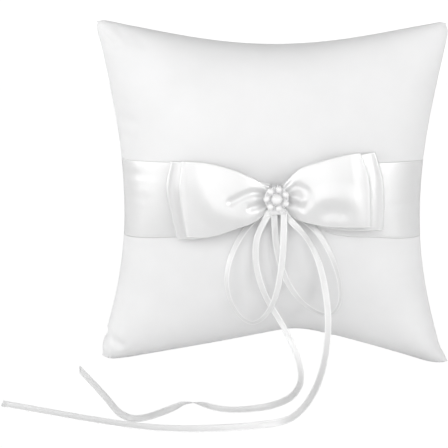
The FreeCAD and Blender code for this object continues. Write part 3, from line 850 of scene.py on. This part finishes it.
def make_gather():
    """Pinched middle of the bow: a bundle of pleats that is narrowest under the brooch."""
    x, turn = np.meshgrid(np.linspace(-GATHER_REACH, GATHER_REACH, GATHER_RINGS),
                          np.linspace(0, 2 * math.pi, GATHER_SIDES + 1)[:-1], indexing="ij")
    wide = (x / GATHER_REACH) ** 2
    height = NECK_HEIGHT + NECK_HEIGHT_FLARE * wide
    depth = NECK_DEPTH + NECK_DEPTH_FLARE * wide
    ripple = 1 + PLEAT_RIPPLE * np.cos(turn * GATHER_PLEATS + x * PLEAT_TWIST)
    y = GATHER_CENTRE_Y - depth * ripple * np.cos(turn)
    z = BOW_HEIGHT - GATHER_DROP + height * ripple * np.sin(turn)
    grid = np.stack([x, y, z], axis=2)
    faces = grid_faces(GATHER_RINGS, GATHER_SIDES, closed=True)
    last = (GATHER_RINGS - 1) * GATHER_SIDES
    faces.append(tuple(range(GATHER_SIDES)))
    faces.append(tuple(range(last, last + GATHER_SIDES))[::-1])
    piece = add_piece("bow_pleat_bundle", grid.reshape(-1, 3), faces, RIBBON)
    set_uv(piece, np.stack([x, turn * CLOTH_PER_RADIAN], axis=2).reshape(-1, 2))
    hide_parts("bow_gather")


# ---------------------------------------------------------------- brooch

PLATE_Y = SEAM_Y - 36.7
# Rim and face of the plate, as (radius, distance ahead of its back).
PLATE_PROFILE = ((0.01, 0.0), (5.4, 0.0), (5.6, 0.15), (5.6, 0.55), (5.45, 0.7), (5.1, 0.62),
                 (0.01, 0.62))
PLATE_SIDES = 72
OUTER_PEARLS = 7
PEARL_RING = 4.67
FIRST_PEARL = math.radians(25.7)
BETWEEN_PEARLS = FIRST_PEARL + math.pi / OUTER_PEARLS
# Rings of beads: how many, radius and start of the ring, distance ahead, radius of a bead, and how
# finely a bead is made.
BEAD_RINGS = ((42, 5.35, 0.0, 0.62, 0.3, 6, 10),
              (OUTER_PEARLS, 5.15, BETWEEN_PEARLS, 0.95, 0.5, 8, 12),
              (OUTER_PEARLS, 2.9, BETWEEN_PEARLS, 1.0, 0.45, 8, 12))
# Radius of a cup and of the pearl in it.
OUTER_CUP = (1.15, 1.5)
CENTRE_CUP = (1.6, 2.5)
CUP_BASE = 0.7
CLAWS = 6
CLAW_STEPS = (0.35, 0.6, 0.85)
CLAW_RADIUS = 0.2
CLAW_GAP = 0.03


def turned(profile, centre, count=40):
    """Points and faces of a round piece facing forward. profile is (radius, height ahead)."""
    angle = np.linspace(0, 2 * math.pi, count + 1)[:-1]
    rings = [np.stack([centre[0] + radius * np.cos(angle), np.full(count, PLATE_Y - ahead),
                       centre[1] + radius * np.sin(angle)], axis=1) for radius, ahead in profile]
    faces = grid_faces(len(profile), count, closed=True)
    return np.concatenate(rings), faces


def ball(centre, radius, rings, count):
    """Small round bead. centre is x, distance ahead of the plate's back, z."""
    tilt = np.linspace(-math.pi / 2, math.pi / 2, rings)
    profile = [(max(radius * math.cos(t), 0.002), centre[1] + radius * math.sin(t)) for t in tilt]
    return turned(profile, (centre[0], centre[2]), count)


def merged(parts):
    """Points and faces of several pieces of one casting."""
    points, faces, base = [], [], 0
    for part_points, part_faces in parts:
        points.append(part_points)
        faces += [tuple(base + i for i in face) for face in part_faces]
        base += len(part_points)
    return np.concatenate(points), faces


def around(count, radius, start):
    """Places on a circle about the brooch's middle."""
    turns = [start + 2 * math.pi * i / count for i in range(count)]
    return [(radius * math.cos(turn), BOW_HEIGHT + radius * math.sin(turn)) for turn in turns]


def cup(centre, radius, pearl_radius):
    """Cup with a rolled rim and six claws that reach up the side of a pearl."""
    parts = [turned(((0.3, CUP_BASE), (radius, CUP_BASE), (radius + 0.1, 1.0),
                     (radius + 0.02, 1.35), (radius - 0.12, 1.4), (radius - 0.2, 1.2)), centre)]
    for i in range(CLAWS):
        turn = 2 * math.pi * i / CLAWS
        for height in CLAW_STEPS:
            lean = math.sqrt(1 - (1 - height) ** 2) * pearl_radius + CLAW_GAP
            place = (centre[0] + lean * math.cos(turn), CUP_BASE + height * pearl_radius,
                     centre[1] + lean * math.sin(turn))
            parts.append(ball(place, CLAW_RADIUS, rings=6, count=8))
    return parts


def make_brooch():
    """Silver plate with a beaded rim and a clawed cup for every pearl."""
    middle = (0.0, BOW_HEIGHT)
    parts = [turned(PLATE_PROFILE, middle, PLATE_SIDES)]
    for count, ring, start, ahead, radius, rings, sides in BEAD_RINGS:
        parts += [ball((x, ahead, z), radius, rings, sides) for x, z in around(count, ring, start)]
    for centre in around(OUTER_PEARLS, PEARL_RING, FIRST_PEARL):
        parts += cup(centre, *OUTER_CUP)
    parts += cup(middle, *CENTRE_CUP)
    points, faces = merged(parts)
    piece = add_piece("brooch_casting", points, faces, SILVER)
    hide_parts("brooch_setting")


# ---------------------------------------------------------------- knot and stitches

# The wrap round the strands: its centre, its half width and half depth, and how much it slants.
WRAP_CENTRE = (0.6, -29.3, 81.6)
WRAP_REACH = (3.9, 1.1)
WRAP_SLANT = 0.25
WRAP_LENGTH = 16
WRAP_ROWS = 49
# Slip stitches along the bottom seam: how many each side of the middle one, from one to the next,
# half the length of one, how far its ends dip, and the thread's radius.
STITCHES_EACH_SIDE = 6
STITCH_PITCH = 5
STITCH_HALF = 1.6
STITCH_DIP = 0.1
STITCH_SINK = 0.02
STITCH_POINTS = 9
THREAD_RADIUS = 0.13
THREAD_SIDES = 8


def make_knot():
    """Narrow ribbon wrapped round the strands, behind the foot of the brooch."""
    across = np.linspace(-1, 1, NARROW_COLUMNS)
    rows = []
    for angle in np.linspace(0, 2 * math.pi, WRAP_ROWS):
        x = WRAP_CENTRE[0] + WRAP_REACH[0] * math.cos(angle)
        y = WRAP_CENTRE[1] - WRAP_REACH[1] * math.sin(angle)
        z = WRAP_CENTRE[2] + WRAP_SLANT * math.sin(angle)
        rows.append([(x, y, z + NARROW_WIDTH / 2 * k) for k in across])
    grid = np.array(rows)
    piece = cloth_sheet("ring_ribbon_wrap", grid, (NARROW_WIDTH, WRAP_LENGTH), NARROW,
                        "root", NARROW_THICKNESS)
    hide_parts("ring_ribbon_knot")


def make_closing_stitches():
    """Slip stitches along the middle of the bottom seam."""
    parts = []
    angle = np.linspace(0, 2 * math.pi, THREAD_SIDES + 1)[:-1]
    last = (STITCH_POINTS - 1) * THREAD_SIDES
    ends = [tuple(range(THREAD_SIDES)), tuple(range(last, last + THREAD_SIDES))[::-1]]
    faces = grid_faces(STITCH_POINTS, THREAD_SIDES, closed=True) + ends
    dips = STITCH_DIP * np.cos(np.linspace(-math.pi, math.pi, STITCH_POINTS))
    for i in range(-STITCHES_EACH_SIDE, STITCHES_EACH_SIDE + 1):
        middle = i * STITCH_PITCH
        x = np.linspace(middle - STITCH_HALF, middle + STITCH_HALF, STITCH_POINTS)
        a = np.arcsin(x / HALF_WIDTH * math.sin(WRAP)) / WRAP
        line = pull_corners(cushion_points(FRONT, a, np.full(STITCH_POINTS, -1.0)))
        rings = [np.stack([np.full(THREAD_SIDES, x), y + THREAD_RADIUS * np.cos(angle),
                           z - STITCH_SINK - dip + THREAD_RADIUS * np.sin(angle)], axis=1)
                 for (x, y, z), dip in zip(line, dips)]
        parts.append((np.concatenate(rings), faces))
    points, faces = merged(parts)
    piece = add_piece("closing_slip_stitches", points, faces, THREAD)
    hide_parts("closing_stitches")


def dress_cad_nodes():
    """Materials of the CAD pieces that keep their own shape."""
    looks = {"pearl": PEARL, "brooch_shank": SILVER, "brooch_thread": THREAD,
             "gather_thread": THREAD, "bow_tack_stitches": THREAD}
    for item in bpy.context.scene.objects:
        look = next((look for start, look in looks.items() if item.name.startswith(start)), None)
        if look and item.type == "MESH":
            item.data.materials.clear()
            item.data.materials.append(look)


# ---------------------------------------------------------------- stage

# The room is like a white tent, dimmer behind the object. ROUND_THE_OBJECT is (share of the way
# round, brightness) from behind the object to the bright side, and TO_OVERHEAD is the same from the
# horizon up.
ROOM_LIGHT = 1.3
BRIGHT_SIDE = (-0.28, -0.96, 0.0)
ROUND_THE_OBJECT = ((0.0, 0.4), (0.4, 0.25), (0.57, 1.0))
TO_OVERHEAD = ((0.05, 1.0), (0.45, 0.55), (0.85, 0.3))
BACKDROP_LIGHT = 1.1
TABLE_TONE = 0.8
TABLE_GLOW = 1.06
# How much of the table that the camera sees is glow.
GLOW_SHARE = 0.93
TABLE_REACH = 3
LIGHT_DISTANCE = 1.4
# Each softbox: degrees round from the front, degrees up, width and height in metres, watts, and
# whether glossy cloth shows it.
SOFTBOXES = {
    "fill_front": (5, 28, 1.2, 0.6, 3.2, False),
    "softbox_low": (-6, 3, 1.0, 0.3, 1.1, True),
    "strip_left": (-48, 12, 0.25, 0.8, 1.4, True),
    "strip_right": (50, 10, 0.25, 0.8, 3.6, True),
    "stripe_left": (-70, 5, 0.25, 0.9, 4.0, True),
    "fill_left": (-125, 15, 0.8, 0.8, 5.0, False),
    "fill_right": (125, 15, 0.8, 0.8, 5.0, False),
}


def add_softbox(name, round_by, up_by, width, height, power, in_gloss):
    data = bpy.data.lights.new(name, "AREA")
    data.shape = "RECTANGLE"
    data.size, data.size_y = width, height
    data.energy = power
    turn, rise = math.radians(round_by), math.radians(up_by)
    away = Vector((math.sin(turn) * math.cos(rise), -math.cos(turn) * math.cos(rise),
                   math.sin(rise)))
    light = bpy.data.objects.new(name, data)
    light.location = away * LIGHT_DISTANCE + Vector((0, 0, MIDDLE_HEIGHT * MM))
    light.rotation_euler = (-away).to_track_quat("-Z", "Y").to_euler()
    light.visible_glossy = in_gloss
    bpy.context.collection.objects.link(light)


def make_world():
    """The room's light on the object, and a white backdrop for the camera."""
    world = bpy.data.worlds.new("studio")
    world.use_nodes = True
    bpy.context.scene.world = world
    room = NodeTree(world.node_tree)
    direction = room.node("TexCoord").outputs["Generated"]
    facing = room.node("VectorMath", operation="DOT_PRODUCT")
    facing.inputs[1].default_value = BRIGHT_SIDE
    room.link(direction, facing.inputs[0])
    halved = room.math("MULTIPLY", facing.outputs["Value"], 0.5)
    around = room.graded(room.math("ADD", halved, 0.5), ROUND_THE_OBJECT)
    split = room.node("SeparateXYZ")
    room.link(direction, split.inputs[0])
    upward = room.graded(split.outputs["Z"], TO_OVERHEAD)
    light = room.math("MULTIPLY", room.math("MULTIPLY", around, upward), ROOM_LIGHT)
    tent = room.tree.nodes["Background"]
    tent.inputs["Color"].default_value = (1, 1, 1, 1)
    room.link(light, tent.inputs["Strength"])
    backdrop = room.node("Background")
    backdrop.inputs["Color"].default_value = (1, 1, 1, 1)
    backdrop.inputs["Strength"].default_value = BACKDROP_LIGHT
    mix = room.node("MixShader")
    room.link(room.node("LightPath").outputs["Is Camera Ray"], mix.inputs["Fac"])
    room.link(tent.outputs[0], mix.inputs[1])
    room.link(backdrop.outputs[0], mix.inputs[2])
    room.link(mix.outputs[0], room.tree.nodes["World Output"].inputs["Surface"])


def make_floor():
    """Pale table top that fades into the backdrop."""
    recipe = Recipe("table_top", Roughness=0.8, Specular_IOR_Level=0.1)
    recipe.shader.inputs["Base Color"].default_value = (TABLE_TONE, TABLE_TONE, TABLE_TONE, 1)
    glow = recipe.node("Emission")
    glow.inputs["Strength"].default_value = TABLE_GLOW
    paths = recipe.node("LightPath")
    mix = recipe.node("MixShader")
    share = recipe.math("MULTIPLY", paths.outputs["Is Camera Ray"], GLOW_SHARE)
    recipe.link(share, mix.inputs["Fac"])
    recipe.link(recipe.shader.outputs[0], mix.inputs[1])
    recipe.link(glow.outputs[0], mix.inputs[2])
    recipe.link(mix.outputs[0], recipe.tree.nodes["Material Output"].inputs["Surface"])
    mesh = bpy.data.meshes.new("table_top")
    corners = [(x * TABLE_REACH, y * TABLE_REACH, 0) for x, y in ((-1, -1), (1, -1), (1, 1), (-1, 1))]
    mesh.from_pydata(corners, [], [(0, 1, 2, 3)])
    mesh.materials.append(recipe.material)
    floor = bpy.data.objects.new("table_top", mesh)
    bpy.context.collection.objects.link(floor)


def make_studio():
    make_world()
    make_floor()
    for name, settings in SOFTBOXES.items():
        add_softbox(name, *settings)
    bpy.context.scene.view_settings.view_transform = "Standard"


make_camera()
make_narrow_ribbon()
cushion = make_cushion()
make_waist_ribbon(cushion)
make_bow()
make_gather()
make_brooch()
make_knot()
make_closing_stitches()
dress_cad_nodes()
make_studio()
